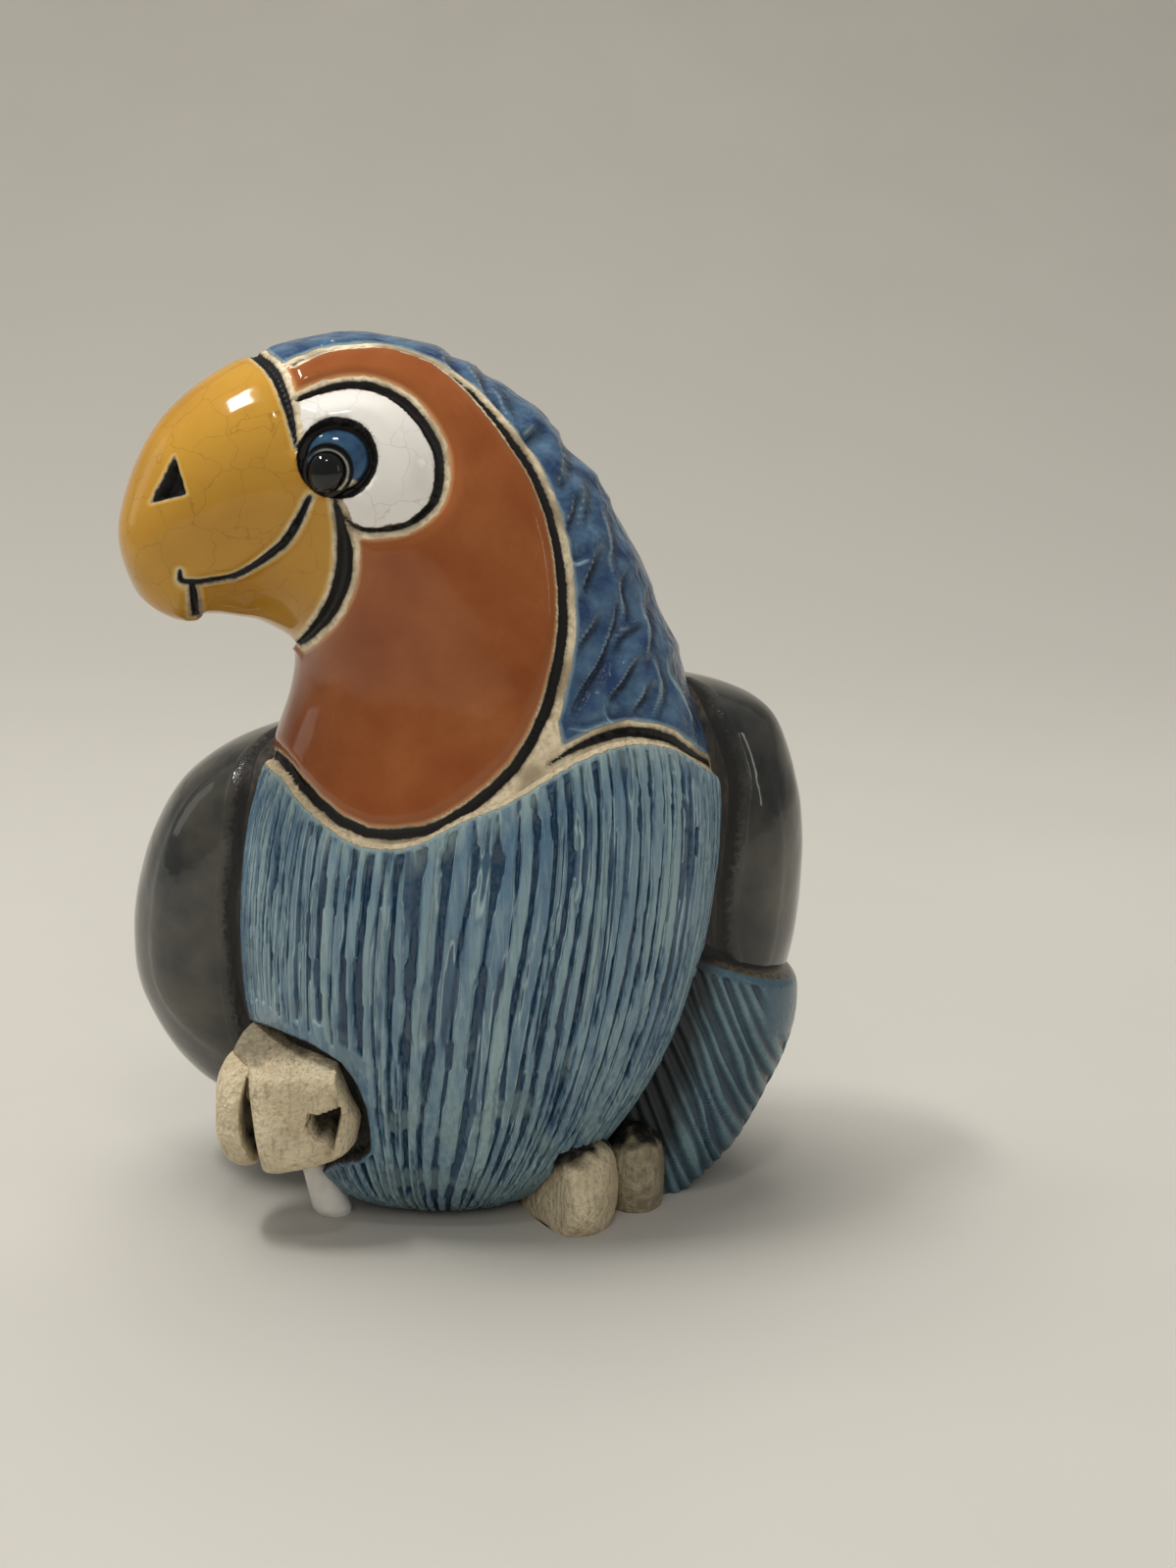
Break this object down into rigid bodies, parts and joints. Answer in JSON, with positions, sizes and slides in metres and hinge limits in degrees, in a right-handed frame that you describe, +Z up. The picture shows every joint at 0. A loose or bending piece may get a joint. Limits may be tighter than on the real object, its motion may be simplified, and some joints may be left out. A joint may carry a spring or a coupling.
{
  "type": "parrot figurine",
  "caption": "Small glazed ceramic parrot with a fluted breast, curved beak and turned head, standing on its belly, toes and tail.",
  "frame": {"origin": "centre of the bounding box's underside, on the surface that the figure stands on", "axes": "+Z up; the breast faces -Y; the head is turned so that the beak points to -X"},
  "size_m": [0.0566, 0.0376, 0.071],
  "materials": {
    "glaze_body": "glossy",
    "beak_glaze": "glossy",
    "face_glaze": "glossy",
    "crest_glaze": "glossy",
    "wing_glaze": "glossy",
    "eye_glaze": "glossy",
    "bare_clay": "matte"
  },
  "bodies": {
    "root": {"parrot": "glaze_body"}
  },
  "joints": []
}
